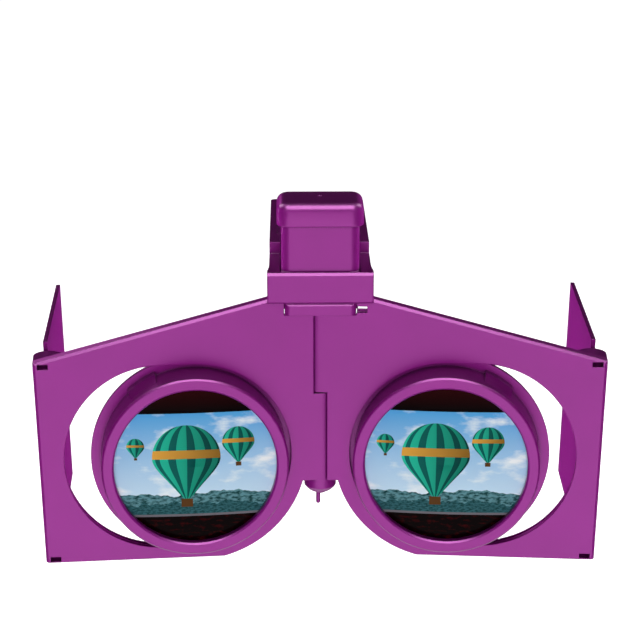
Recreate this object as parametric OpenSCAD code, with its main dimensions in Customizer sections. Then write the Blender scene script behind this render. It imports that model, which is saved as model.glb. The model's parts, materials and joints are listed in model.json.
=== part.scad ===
// Folding clip-on viewer for a phone: two lens wings on one central hinge, side flaps and a sprung phone clamp.
// Every face of the wings is drawn in its own frame: u runs out from the hinge, +Y is back, +Z is up.
// The finished model sits with its origin where the phone's top front edge meets the clamp.

/* [Wings] */
// Width of the wing plate outside the window
outer_band = 6.25; // [5.6:0.05:9]
// Height of the plate above the upper outer screw of the keeper
corner_band = 2.035; // [1.6:0.005:6]
// Height that the sloping top edge would reach at the hinge line, over the arm's underside
peak_rise = 2.7; // [2:0.1:3.2]
// How far a wing's outer edge leans in from top to bottom
wing_edge_lean = 1.2; // [0:0.1:2]
// Thickness of the wing plate
wing_t = 1.6; // [1.2:0.1:2]
// Depth of the stiffening rim along the top and outer edges
rim_depth = 2.9; // [2.2:0.1:3.4]
// Thickness of that rim
rim_t = 1.2; // [0.8:0.1:1.6]
// Bevel on the wing's front edges
wing_bevel = 0.6; // [0.2:0.1:0.9]
// Angle that each open wing turns toward the face
wing_toe = 4.87; // [2:0.1:6]
// Width of the plate round the keeper where the nose arch cuts it
nose_margin = 0.95; // [0.5:0.05:1.4]
// Height of the plate's lower edge beside the hinge
nose_top = 18.2; // [16:0.1:20]

/* [Lens slides] */
// Clear width between the keeper and the hinge line with the holder slid in
hinge_room = 4.4; // [4.4:0.05:5]
// Height of the keeper's lowest point above the wing's bottom edge
keeper_foot = 0.1; // [0.1:0.05:0.6]
// How far a lens holder slides outward
lens_travel = 7.4; // [4:0.2:8]
// Gap between the tube and the window's round ends
window_gap = 1.13; // [0.8:0.01:1.5]
// Thickness of the holder's tube round the lens
tube_wall = 2.27; // [1.9:0.01:3]
// How far the tube's eye opening covers the lens's rim
eye_lip = 0.4; // [0.3:0.05:0.8]
// How far the tube stands out of the wing's front face
tube_out = 7.4; // [5:0.2:9]
// How far the holder's sliding flange reaches past the window
flange_overlap = 1.3; // [1:0.05:1.8]
// Thickness of the sliding flange
flange_t = 1.2; // [1:0.1:1.4]
// Play round the flange's edge in its keeper
track_play = 0.25; // [0.2:0.05:0.4]
// Play between the flange and its keeper
slide_play = 0.1; // [0.08:0.01:0.15]
// Width of the keeper's band round the flange
keeper_band = 1.1; // [0.8:0.1:1.2]
// Thickness of the keeper's lip behind the flange
keeper_lip_t = 0.6; // [0.5:0.1:0.8]
// Radius of the lens's rim
lens_r = 18.9; // [16:0.1:22]
// Thickness of the lens's rim
lens_edge_t = 2; // [1.5:0.1:2.5]
// Rise of the lens's eye face
lens_front_rise = 1; // [0.5:0.1:1.4]
// Rise of the lens's phone face
lens_back_rise = 6; // [4:0.2:6.2]

/* [Hinge] */
// Radius of the hinge barrels
barrel_r = 3.7; // [3.4:0.1:4]
// Clear space between a barrel and the other wing
barrel_play = 0.4; // [0.2:0.05:0.5]
// Height of the joint between the upper and the lower barrel
barrel_split_z = 39.65; // [34:0.05:46]
// How far the lower barrel's round end reaches below the plate beside it
barrel_drop = 4.3; // [3:0.1:5.5]
// Radius of the ball that rounds the barrel's end
barrel_ball_r = 4.4; // [4.2:0.1:6]
// Radius of the hinge pin
hinge_pin_r = 1.2; // [0.9:0.1:1.5]
// Radial running clearance of the pins
pin_play = 0.05; // [0.03:0.01:0.08]
// Radius of the pin's thin tail
tail_r = 0.5; // [0.4:0.05:0.6]
// Length of the tail below the barrel
tail_len = 3; // [1:0.2:4]
// How far the tail sits beside the pin's middle
tail_off = 0.45; // [0:0.05:0.6]

/* [Side flaps] */
// Distance of a flap's pivot in from the wing's outer edge
flap_inset = 2.5; // [2.5:0.1:5]
// Distance of a flap's pivot behind the wing's front face
flap_pivot_back = 5; // [4.9:0.1:5.4]
// How far a flap's rear edge stays short of the phone
flap_end_gap = 0.15; // [0:0.05:8]
// Thickness of a flap
flap_t = 1; // [0.8:0.1:1.2]
// Height of a flap's upper edge above the ears
flap_rise = 2; // [1.3:0.1:2.8]
// Height of a flap's lower edge
flap_foot_z = -0.6; // [-1:0.1:0]
// Outward turn of the left flap from straight back
left_splay = 2.8; // [0:0.1:3.5]
// Outward turn of the right flap from straight back
right_splay = 2; // [0:0.1:3.5]
// Radius of a flap's hinge tube
flap_tube_r = 1.2; // [1:0.05:1.3]
// Radius of a flap's pin
flap_pin_r = 0.6; // [0.5:0.05:0.7]
// Thickness of the ears that hold a flap
ear_t = 2.6; // [2.2:0.1:3.2]
// Radius of an ear's round end about the pivot
ear_r = 4.85; // [4.2:0.05:4.9]
// Radius of an ear's outer rear corner
ear_corner_r = 3.5; // [2.5:0.1:3.8]
// Width of the small slots in the wing
slot_w = 2.4; // [1.6:0.1:2.6]
// Height of the small slots in the wing
slot_h = 1.2; // [0.8:0.1:1.4]

/* [Phone clamp] */
// Half width of the clamp's arm
arm_half = 11.6; // [11.3:0.05:12.2]
// How much wider the block at the arm's front is on each side
block_flare = 0.4; // [0:0.05:0.6]
// How far the block's front face stands before the hinge's front face
block_front = 2; // [1.8:0.1:2.4]
// How far the block's lower front edge hangs below the arm
block_drop = 1.2; // [0.8:0.05:1.3]
// Height of the underside of the arm, where the phone's edge rests
arm_under = 62.7; // [62.6:0.05:63]
// Height of the arm's front floor above its underside
arm_h = 6; // [5.7:0.1:6.7]
// Height of the step from the front floor up to the rear deck
deck_rise = 2.67; // [2:0.1:3.2]
// Distance of that step behind the hinge's front face
deck_start = 15.34; // [14:0.2:17]
// Gap between the arm's rear end and the shut rear jaw
arm_gap = 0.2; // [0.1:0.05:0.5]
// Radius of the arm's rear corners
arm_corner_r = 1.4; // [0.8:0.1:2]
// Half width of the hinge boss under the block
boss_half = 8.1; // [6.5:0.05:8.3]
// How far the boss reaches below the arm
boss_drop = 3.95; // [3.3:0.05:4.7]
// Distance of the front pad's face, where the phone lies, behind the hinge's front face
jaw_face = 52; // [51:0.2:53]
// Gap between the two pads with the clamp shut
jaw_gap = 5; // [4.6:0.1:6]
// Length of both jaws below the arm
jaw_h = 7.9; // [4.7:0.1:8.1]
// Thickness of each jaw
jaw_t = 2.2; // [1.8:0.1:2.8]
// How far the jaws stay inside the arm's sides
jaw_inset = 1.1; // [0.7:0.05:3.6]
// Thickness of each rubber pad
pad_t = 0.8; // [0.6:0.05:1]
// Wall at the front of the channel
front_wall = 1.2; // [1:0.1:1.4]
// Thickness of the walls beside the channel that the slider runs in
side_wall = 2.5; // [2.2:0.05:2.6]
// Thickness of the channel's floor
channel_floor_t = 1.5; // [1.2:0.1:1.8]

/* [Thumb slider] */
// How far the slider opens the clamp
slider_travel = 8; // [5:0.2:8.4]
// Play round the slider in its channel
slider_play = 0.25; // [0.15:0.01:0.3]
// Depth of the slider's post from front to back
post_depth = 11.6; // [9:0.1:12]
// Radius of the post's upright corners
post_corner_r = 2.1; // [1:0.1:2.4]
// Height of the post above the arm's front floor
post_h = 10.4; // [8.3:0.1:11.3]
// Height of the cap itself
cap_h = 5.35; // [4:0.05:6]
// Overhang of the cap behind the post
cap_rear_lip = 1.65; // [0.4:0.05:2]
// Overhang of the cap at the front and the sides of the post
cap_lip = 0.95; // [0.4:0.05:1.4]
// Radius of the cap's upright corners
cap_corner_r = 2.6; // [1.8:0.1:3]
// Radius of the cap's top edge
cap_edge_r = 1.3; // [0.8:0.1:1.6]
// Thickness of the tongue that carries the rear jaw
tongue_t = 1; // [0.8:0.1:1.2]
// Half width of the tongue
tongue_half = 6; // [5:0.1:7]
// Radius of the two guide rods
rod_r = 0.9; // [0.7:0.05:1]
// Distance of each guide rod from the middle
rod_x = 5.2; // [4:0.1:6.4]
// Thickness of the springs' wire
spring_wire = 0.5; // [0.4:0.05:0.6]
// Mean radius of the springs
spring_r = 1.6; // [1.5:0.05:1.7]
// Coils in each spring
spring_coils = 8; // [6:1:9]

/* [Hidden] */
$fn = 96;

SHELL = "#933A8B";
SHELL_DARK = "#7A2A74";
STEEL = "#B9BCC2";
RUBBER = "#2B2430";
LENS = [0.75, 0.86, 0.95, 0.55];

// Small shared clearances: a seat between pieces, the seat of a fixed pin, and the cut past a face
seat = 0.1;
fixed_play = 0.02;
past = 0.5;
edge = 0.4;

// Lens slide: each ring is worked out from the one inside it
lens_cell_r = lens_r + seat;
eye_r = lens_r - eye_lip;
tube_r = lens_cell_r + tube_wall;
window_r = tube_r + window_gap;
flange_r = window_r + flange_overlap;
track_r = flange_r + track_play;
keeper_r = track_r + keeper_band;
lens_in = keeper_r + hinge_room;
lens_z = keeper_r + keeper_foot;
nose_r = keeper_r + nose_margin;
lug_r = 2.6;
lug_reach = keeper_r + lug_r - 0.9;

// Heights and widths of the clamp
block_foot_z = arm_under - block_drop;
boss_z = arm_under - boss_drop;
jaw_foot_z = arm_under - jaw_h;
floor_z = arm_under + arm_h;
cap_z = floor_z + post_h;
block_half = arm_half + block_flare;
jaw_half = arm_half - jaw_inset;
channel_half = arm_half - side_wall;
post_half = channel_half - slider_play;
cap_half = post_half + cap_lip;
arm_end = jaw_face + jaw_gap + pad_t - arm_gap;

// Hinge
hinge_back = barrel_r;
barrel_clear_r = barrel_r + barrel_play;
barrel_top_z = boss_z - 0.15;
knuckle_gap = 0.3;
hinge_bore_r = hinge_pin_r + pin_play;
hinge_pin_top = arm_under + channel_floor_t - 0.6;
barrel_foot_z = nose_top - barrel_drop;
tail_z = barrel_foot_z - tail_len;

// Wings
wing_reach = lens_in + lens_travel + window_r + outer_band;
wing_edge_h = lens_z + lug_reach * sin(45) + lug_r + corner_band;
wing_peak_h = arm_under + peak_rise;
wing_slope = (wing_peak_h - wing_edge_h) / wing_reach;
wing_foot_u = wing_reach - wing_edge_lean;
neck_top = arm_under - 0.25;
neck_u = (wing_peak_h - neck_top) / wing_slope;
boss_clear_u = boss_half + 0.45;
boss_round_play = 0.15;
boss_round_r = norm([boss_clear_u, hinge_back - wing_t]) - boss_round_play;
slot_margin = 1.05;
function top_edge(u) = wing_peak_h - wing_slope * u;

// Lens slide: depths are measured back from the wing's front face
flange_front = wing_t + slide_play;
flange_back = flange_front + flange_t;
keeper_step = flange_back + slide_play;
keeper_back = keeper_step + keeper_lip_t;
flange_flat = flange_r - 0.4;
lip_r = window_r + 0.3;
keeper_screw_r = 0.7;
keeper_head_r = 1.3;
lens_seat_out = tube_out - 2;
lens_back_out = lens_seat_out - lens_edge_t;
retainer_t = 1.2;

// Flaps
ear_top_z = wing_edge_h;
flap_lean = atan(wing_edge_lean / wing_edge_h);
flap_pivot_y = hinge_back - (wing_reach - flap_inset) * sin(wing_toe)
    + (flap_pivot_back - hinge_back) * cos(wing_toe);
flap_len = jaw_face - flap_pivot_y - flap_end_gap;
flap_top_z = ear_top_z + flap_rise;
flap_near = ear_r + 0.35;
tab_gap = 0.3;
flap_pin_foot = 0.3;
flap_pin_top = ear_top_z - 0.8;

// Clamp
land_rise = 0.2;
land_inset = 0.1;
arm_z = arm_under + land_rise;
block_corner_r = 0.3;
block_run = 0.6;
flare_run = 5;
lip_gap = 0.2;
lip_t = block_front + hinge_back * (1 - cos(wing_toe)) - block_half * sin(wing_toe) - lip_gap;
gusset_h = 4;
gusset_run = 5;
gusset_t = 1.2;
deck_z = floor_z + deck_rise;
channel_z = arm_under + channel_floor_t;
channel_front = front_wall - block_front;
cover_t = 1.4;
cover_lip = 0.8;
cover_room = 4;
cover_front = channel_front + slider_play + post_depth + slider_travel + cover_room;
cover_z = deck_z - cover_t;
stop_wall_t = 2.6;
stop_room = 3;
stop_front = cover_front + stop_room;
rear_bridge_t = 2.6;
rear_bridge_in = 2;
rear_bridge_front = arm_end - rear_bridge_in - rear_bridge_t;
cover_screw_r = 0.6;
cover_head_r = 1.3;
cover_screw_len = 3.6;
jaw_front = jaw_face + jaw_gap + pad_t;
pad_top_z = arm_under - 0.9;
pad_foot_z = jaw_foot_z + 0.5;
pad_half = jaw_half - 1;
pad_ribs = 5;

// Slider
slide_front = channel_front + slider_play;
slide_rear = slide_front + post_depth;
tongue_z = channel_z + slider_play;
tongue_top = tongue_z + tongue_t;
tab_t = 1.15;
tab_front = rear_bridge_front - slider_travel - 0.4;
tab_half = tongue_half - 1;
jaw_screw_y = tab_front + 2.8;
jaw_screw_x = 3;
jaw_screw_r = 0.7;
jaw_head_r = 1.3;
rod_z = tongue_top + spring_r + spring_wire / 2 + 0.25;
rod_rear = stop_front + stop_wall_t - 0.3;
rod_front = channel_front - 0.6;

// Places
module at_seat() { translate([0, -jaw_face, -arm_under]) children(); }
module wing_frame(hand) {
    at_seat() mirror([hand == "left" ? 1 : 0, 0, 0])
        translate([0, hinge_back, 0]) rotate([0, 0, -wing_toe]) translate([0, -hinge_back, 0]) children();
}
module hinge_axis() { translate([0, hinge_back, 0]) children(); }
module lens_axis(u = lens_in) { translate([u, 0, lens_z]) rotate([90, 0, 0]) children(); }
// The flap turns about a line that leans with the wing's outer edge
module flap_axis() { translate([wing_foot_u - flap_inset, flap_pivot_back, 0]) rotate([0, flap_lean, 0]) children(); }

// Shapes
// A drawing in the wing's plane, between two depths behind its front face
module sheet(front, back) {
    translate([0, back, 0]) rotate([90, 0, 0]) linear_extrude(back - front) children();
}
// The path that a circle of this radius covers while the lens holder slides
module slide_path(r) {
    for (u = [lens_in, lens_in + lens_travel]) translate([u, lens_z]) circle(r);
    translate([lens_in, lens_z - r]) square([lens_travel, 2 * r]);
}
module round_rect(x0, y0, x1, y1, r) {
    translate([x0 + r, y0]) square([x1 - x0 - 2 * r, y1 - y0]);
    translate([x0, y0 + r]) square([x1 - x0, y1 - y0 - 2 * r]);
    for (x = [x0 + r, x1 - r], y = [y0 + r, y1 - r]) translate([x, y]) circle(r);
}
// A wedge cut along an edge from p to q in the wing's plane
module edge_bevel(p, q, cut) {
    run = q - p;
    side = cut * sqrt(2);
    translate([p[0], 0, p[1]]) rotate([0, -atan2(run[1], run[0]), 0]) rotate([45, 0, 0])
        translate([-past, -side / 2, -side / 2]) cube([norm(run) + 2 * past, side, side]);
}
module screw(r, head_r, length) {
    head_h = head_r - r;
    translate([0, 0, -length]) cylinder(r = r, h = length - head_h / 2);
    translate([0, 0, -head_h]) cylinder(r1 = r, r2 = head_r, h = head_h);
}
module screw_hole(r, head_r, length) {
    head_h = head_r - r;
    translate([0, 0, -length]) cylinder(r = r + fixed_play, h = length + past);
    translate([0, 0, -head_h]) cylinder(r1 = r + fixed_play, r2 = head_r + fixed_play, h = head_h);
}

// Wings
module wing_outline() {
    difference() {
        polygon([[0, 0], [0, neck_top], [neck_u, neck_top], [neck_u, top_edge(neck_u)],
            [wing_reach, wing_edge_h], [wing_foot_u, 0]]);
        slide_path(window_r);
        difference() {
            translate([-past, -past]) square([lens_in + past, nose_top + past]);
            translate([lens_in, lens_z]) circle(nose_r);
        }
    }
}
module wing_rim() {
    drop = rim_t / cos(atan(wing_slope));
    inner_u = wing_reach - rim_t;
    polygon([[neck_u, top_edge(neck_u)], [wing_reach, wing_edge_h], [wing_foot_u, 0], [wing_foot_u - rim_t, 0],
        [inner_u, top_edge(inner_u) - drop], [neck_u, top_edge(neck_u) - drop]]);
}
// Plan of an ear that holds a flap's pin, seen from above, out to the wing's edge at that height
module ear_plan(outer) {
    rear = flap_pivot_back + ear_r;
    intersection() {
        union() {
            translate([outer - flap_inset, flap_pivot_back]) circle(ear_r);
            translate([outer - flap_inset - ear_r, wing_t - past])
                square([wing_reach, flap_pivot_back - wing_t + past]);
        }
        union() {
            square([outer, rear - ear_corner_r]);
            square([outer - ear_corner_r, rear + past]);
            translate([outer - ear_corner_r, rear - ear_corner_r]) circle(ear_corner_r);
        }
    }
}
module wing(hand) {
    left = hand == "left";
    barrel_low = left ? barrel_foot_z + barrel_ball_r : barrel_split_z + knuckle_gap / 2;
    barrel_high = left ? barrel_split_z - knuckle_gap / 2 : barrel_top_z;
    room_low = left ? barrel_high : -past;
    room_high = left ? neck_top + past : barrel_low;
    color(SHELL) wing_frame(hand) difference() {
        union() {
            difference() {
                union() {
                    sheet(0, wing_t) wing_outline();
                    sheet(wing_t, rim_depth) wing_rim();
                    linear_extrude(ear_t) ear_plan(wing_foot_u);
                    translate([0, 0, ear_top_z - ear_t]) linear_extrude(ear_t) ear_plan(wing_reach);
                }
                // Room for the other wing's barrel and for the boss above
                hinge_axis() translate([0, 0, room_low]) cylinder(r = barrel_clear_r, h = room_high - room_low);
                translate([-past, -past, boss_z - 0.25])
                    cube([boss_clear_u + past, wing_t + 2 * past, neck_top]);
                edge_bevel([neck_u, top_edge(neck_u)], [wing_reach, wing_edge_h], wing_bevel);
                edge_bevel([wing_reach, wing_edge_h], [wing_foot_u, 0], wing_bevel);
            }
            hinge_axis() translate([0, 0, barrel_low]) cylinder(r = barrel_r, h = barrel_high - barrel_low);
            if (left) hinge_axis() barrel_end();
        }
        hinge_axis() translate([0, 0, -past]) cylinder(r = hinge_bore_r, h = wing_peak_h);
        flap_axis() translate([0, 0, -past]) cylinder(r = flap_pin_r + fixed_play, h = flap_pin_top + past + fixed_play);
        corner_slots();
        if (!left) boss_slot();
        for (p = keeper_lugs()) translate([p[0], wing_t, p[1]]) rotate([-90, 0, 0])
            translate([0, 0, -1]) cylinder(r = keeper_screw_r + fixed_play, h = 1 + past);
    }
}
// Round end of the lower barrel
module barrel_end() {
    intersection() {
        translate([0, 0, barrel_foot_z]) cylinder(r = barrel_r, h = barrel_ball_r + seat);
        translate([0, 0, barrel_foot_z + barrel_ball_r]) sphere(r = barrel_ball_r);
    }
}
module corner_slots() {
    depth = past + flap_pivot_back - flap_pin_r - 1.2;
    for (p = [[wing_reach, ear_top_z - 0.2 - slot_h], [wing_foot_u, 0.2]])
        translate([p[0] - slot_margin - slot_w, -past, p[1]]) cube([slot_w, depth, slot_h]);
}
// Slot beside the boss: its lower half is blind
module boss_slot() {
    slit = slot_h / 2;
    translate([boss_clear_u - past, -past, boss_z + 0.3]) cube([slot_w + past, past + wing_t - 0.5, slot_h + slit / 2]);
    translate([boss_clear_u - past, -past, boss_z + 0.3 + slot_h - slit])
        cube([slot_w + past, wing_t + 2 * past, 1.5 * slit]);
}

// Keeper behind a wing, and the screws that hold it
function keeper_lugs() = [
    for (p = [[0, 135], [1, 45], [1, -45]])
        [lens_in + p[0] * lens_travel + lug_reach * cos(p[1]), lens_z + lug_reach * sin(p[1])]];
module slide_keeper(hand) {
    color(SHELL_DARK) wing_frame(hand) difference() {
        union() {
            sheet(wing_t, keeper_back) slide_path(keeper_r);
            sheet(wing_t, keeper_back) for (p = keeper_lugs()) translate(p) circle(lug_r);
        }
        sheet(wing_t - past, keeper_step) intersection() {
            slide_path(track_r);
            translate([0, lens_z - flange_flat - slide_play]) square([wing_reach, 2 * (flange_flat + slide_play)]);
        }
        sheet(wing_t - past, keeper_back + past) slide_path(lip_r);
        for (p = keeper_lugs()) translate([p[0], keeper_back, p[1]]) rotate([-90, 0, 0])
            screw_hole(keeper_screw_r, keeper_head_r, keeper_back);
    }
}
module keeper_screws(hand) {
    color(STEEL) wing_frame(hand)
        for (p = keeper_lugs()) translate([p[0], keeper_back, p[1]]) rotate([-90, 0, 0])
            screw(keeper_screw_r, keeper_head_r, keeper_back - wing_t + 0.9);
}

// Lens holder, lens and retainer, turned about the lens axis with z toward the face
module lens_holder(hand) {
    color(SHELL) wing_frame(hand) lens_axis() {
        difference() {
            rotate_extrude($fn = 128) polygon([
                [eye_r, lens_seat_out], [eye_r, tube_out - edge], [eye_r + edge, tube_out],
                [tube_r - edge, tube_out], [tube_r, tube_out - edge], [tube_r, -flange_front],
                [flange_r, -flange_front], [flange_r, -flange_back], [lens_cell_r, -flange_back],
                [lens_cell_r, lens_seat_out]]);
            for (side = [-1, 1]) translate([-flange_r, side > 0 ? flange_flat : -flange_flat - past, -flange_back - past])
                cube([2 * flange_r, past, flange_t + past + seat]);
        }
        holder_stop();
    }
}
// Ramped stop on the tube's outer upper side
module holder_stop() {
    start = 48;
    sweep = 19;
    rise = window_r - tube_r - 0.25;
    rotate([0, 0, start]) rotate_extrude(angle = sweep) polygon([
        [tube_r - 0.5, -flange_front], [tube_r + rise, -flange_front], [tube_r + rise, 0.6],
        [tube_r - 0.5, tube_out - 1.2]]);
}
module lens(hand) {
    front_ball = (eye_r * eye_r + lens_front_rise * lens_front_rise) / (2 * lens_front_rise);
    back_rim = lens_r - retainer_t - 0.1;
    back_ball = (back_rim * back_rim + lens_back_rise * lens_back_rise) / (2 * lens_back_rise);
    color(LENS) wing_frame(hand) lens_axis() rotate_extrude($fn = 128) {
        translate([0, lens_back_out]) square([lens_r, lens_edge_t]);
        intersection() {
            translate([0, lens_seat_out - past]) square([eye_r, past + lens_front_rise]);
            translate([0, lens_seat_out + lens_front_rise - front_ball]) circle(front_ball, $fn = 200);
        }
        intersection() {
            translate([0, lens_back_out - lens_back_rise]) square([back_rim, lens_back_rise + past]);
            translate([0, lens_back_out - lens_back_rise + back_ball]) circle(back_ball, $fn = 200);
        }
    }
}
module lens_retainer(hand) {
    color(SHELL_DARK) wing_frame(hand) lens_axis() difference() {
        rotate_extrude($fn = 128) polygon([
            [lens_r - retainer_t, lens_back_out], [lens_r, lens_back_out], [lens_r, -flange_back],
            [lens_r - retainer_t, -flange_back]]);
        for (a = [0, 90]) rotate([0, 0, a]) translate([-tube_r, -1, -flange_back - past]) cube([2 * tube_r, 2, past + 0.8]);
    }
}

// Side flap and its pin
module flap(hand) {
    splay = hand == "left" ? left_splay : right_splay;
    color(SHELL) wing_frame(hand) flap_axis() rotate([0, 0, wing_toe - splay]) difference() {
        union() {
            translate([-flap_t / 2, flap_near, flap_foot_z]) cube([flap_t, flap_len - flap_near, flap_top_z - flap_foot_z]);
            translate([-flap_t / 2, 0, ear_t + tab_gap])
                cube([flap_t, flap_near + past, ear_top_z - 2 * (ear_t + tab_gap)]);
            translate([0, 0, ear_t + tab_gap]) cylinder(r = flap_tube_r, h = ear_top_z - 2 * (ear_t + tab_gap));
        }
        cylinder(r = flap_pin_r + pin_play, h = ear_top_z);
    }
}
module flap_pin(hand) {
    color(STEEL) wing_frame(hand) flap_axis() translate([0, 0, flap_pin_foot])
        cylinder(r = flap_pin_r, h = flap_pin_top - flap_pin_foot, $fn = 48);
}

// Hinge pin, with the thin tail that shows under the barrels
module hinge_pin() {
    color(SHELL_DARK) at_seat() hinge_axis() {
        translate([0, 0, barrel_foot_z]) cylinder(r = hinge_pin_r, h = hinge_pin_top - barrel_foot_z);
        translate([-tail_off, 0, tail_z + tail_r]) {
            cylinder(r = tail_r, h = tail_len);
            sphere(r = tail_r);
        }
    }
}

// Clamp base: the fixed arm with the hinge boss, the channel and the front jaw
module arm_plan(y0) {
    translate([-arm_half, y0]) square([2 * arm_half, arm_end - arm_corner_r - y0]);
    translate([-arm_half + arm_corner_r, y0]) square([2 * (arm_half - arm_corner_r), arm_end - y0]);
    for (x = [-1, 1]) translate([x * (arm_half - arm_corner_r), arm_end - arm_corner_r]) circle(arm_corner_r);
}
// Plan of the block at the arm's front, whose sides draw in to the arm
module block_plan() {
    r = block_corner_r;
    function side(t) = [arm_half + block_flare * (1 - t) * (1 - t), block_run + flare_run * t];
    translate([-block_half, r - block_front]) square([2 * block_half, block_run + block_front - r]);
    translate([r - block_half, -block_front]) square([2 * (block_half - r), r + seat]);
    for (x = [-1, 1]) translate([x * (block_half - r), r - block_front]) circle(r);
    polygon([for (t = [0 : 0.125 : 1]) side(t), for (t = [1 : -0.125 : 0]) [-side(t)[0], side(t)[1]]]);
}
// Plan of the boss: its rear is round and fills the wings' cut-out, with running play
module boss_plan() {
    r = 1.3;
    translate([-boss_half, r - block_front]) square([2 * boss_half, hinge_back + block_front - r]);
    translate([r - boss_half, -block_front]) square([2 * (boss_half - r), hinge_back + block_front]);
    for (x = [-1, 1]) translate([x * (boss_half - r), r - block_front]) circle(r);
    intersection() {
        translate([0, hinge_back]) circle(boss_round_r);
        translate([-boss_round_r, hinge_back - seat]) square(2 * boss_round_r);
    }
}
module clamp_base() {
    color(SHELL) at_seat() difference() {
        union() {
            translate([0, 0, arm_z]) linear_extrude(floor_z - arm_z) {
                arm_plan(0);
                block_plan();
            }
            translate([0, 0, floor_z - seat]) linear_extrude(deck_rise + seat) arm_plan(deck_start);
            block_lip();
            translate([0, 0, boss_z]) linear_extrude(arm_z - boss_z + seat) boss_plan();
            front_jaw();
            phone_seat();
        }
        difference() {
            translate([-channel_half, channel_front, channel_z])
                cube([2 * channel_half, arm_end - channel_front + past, deck_z - channel_z + past]);
            cross_walls();
        }
        translate([-channel_half - cover_lip, cover_front, cover_z])
            cube([2 * (channel_half + cover_lip), arm_end - cover_front + past, cover_t + past]);
        hinge_axis() translate([0, 0, boss_z - past]) cylinder(r = hinge_pin_r + fixed_play, h = hinge_pin_top - boss_z + past);
        guide_rod_set(rod_r + fixed_play);
        for (y = cover_screw_places()) translate([0, y, deck_z]) screw_hole(cover_screw_r, cover_head_r, cover_screw_len);
        block_bevels();
    }
}
// Lip of the block, in front of the wings' top edges
module block_lip() {
    translate([0, 0, block_foot_z]) linear_extrude(arm_z - block_foot_z + seat) intersection() {
        block_plan();
        translate([-block_half, -block_front]) square([2 * block_half, lip_t]);
    }
}
// Land between the pads, where the phone's edge rests
module phone_seat() {
    translate([-pad_half, jaw_face + land_inset, arm_under])
        cube([2 * pad_half, jaw_gap - 2 * land_inset, land_rise + seat]);
}
// Walls across the channel: one stops the springs, one bridges the tongue at the rear
module cross_walls() {
    translate([-channel_half - past, stop_front, tongue_top + 0.3])
        cube([2 * (channel_half + past), stop_wall_t, cover_z - tongue_top - 0.3]);
    translate([-channel_half - past, rear_bridge_front, tongue_top + tab_t + 0.4])
        cube([2 * (channel_half + past), rear_bridge_t, cover_z - tongue_top - tab_t - 0.4]);
}
module block_bevels() {
    for (edge_cut = [[floor_z, 0.6], [block_foot_z, 0.45]]) {
        side = edge_cut[1] * sqrt(2);
        translate([-block_half - past, -block_front, edge_cut[0]]) rotate([45, 0, 0])
            translate([0, -side / 2, -side / 2]) cube([2 * (block_half + past), side, side]);
    }
}
module jaw_outline(top) {
    r = 2;
    translate([-jaw_half, jaw_foot_z + r]) square([2 * jaw_half, top - jaw_foot_z - r]);
    translate([r - jaw_half, jaw_foot_z]) square([2 * (jaw_half - r), r + seat]);
    for (x = [-1, 1]) translate([x * (jaw_half - r), jaw_foot_z + r]) circle(r);
}
module front_jaw() {
    front = jaw_face - pad_t - jaw_t;
    sheet(front, jaw_face - pad_t) jaw_outline(arm_z + seat);
    for (x = [-1, 1]) translate([x * (jaw_half - 2) - gusset_t / 2, front, arm_z + seat])
        rotate([0, 90, 0]) linear_extrude(gusset_t) polygon([[0, seat], [0, -gusset_h], [gusset_run, seat]]);
}
module pad_profile(face, back) {
    pitch = (pad_top_z - pad_foot_z) / pad_ribs;
    groove = (face - back) * 0.35;
    polygon([
        [back, pad_foot_z],
        for (i = [0 : pad_ribs - 1], p = [[0, pad_foot_z + i * pitch], [0, pad_foot_z + (i + 0.6) * pitch],
            [1, pad_foot_z + (i + 0.7) * pitch], [1, pad_foot_z + (i + 0.9) * pitch]])
            [face - groove * p[0], p[1]],
        [back, pad_top_z]]);
}
module pad(face, back) {
    color(RUBBER) at_seat() translate([-pad_half, 0, 0]) rotate([90, 0, 90])
        linear_extrude(2 * pad_half) pad_profile(face, back);
}
module front_pad() { pad(jaw_face, jaw_face - pad_t); }
module rear_pad() { pad(jaw_face + jaw_gap, jaw_front); }

// Cover over the rear of the channel
function cover_screw_places() = [stop_front + stop_wall_t / 2, rear_bridge_front + rear_bridge_t / 2];
module channel_cover() {
    half = channel_half + cover_lip - seat;
    color(SHELL) at_seat() difference() {
        translate([0, 0, cover_z]) linear_extrude(cover_t)
            translate([-half, cover_front + seat]) square([2 * half, arm_end - cover_front - seat]);
        for (y = cover_screw_places()) translate([0, y, deck_z]) screw_hole(cover_screw_r, cover_head_r, cover_screw_len);
    }
}
module cover_screws() {
    color(STEEL) at_seat() for (y = cover_screw_places())
        translate([0, y, deck_z]) screw(cover_screw_r, cover_head_r, cover_screw_len - 0.2);
}

// Guide rods, springs and the thumb slider
module guide_rod_set(r) {
    for (x = [-rod_x, rod_x]) translate([x, rod_front, rod_z]) rotate([-90, 0, 0]) cylinder(r = r, h = rod_rear - rod_front);
}
module guide_rods() { color(STEEL) at_seat() guide_rod_set(rod_r); }
module slider_springs() {
    color(STEEL) at_seat() for (x = [-rod_x, rod_x])
        translate([x, slide_rear + seat, rod_z]) rotate([-90, 0, 0]) coil(stop_front - slide_rear - 2 * seat);
}
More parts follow.
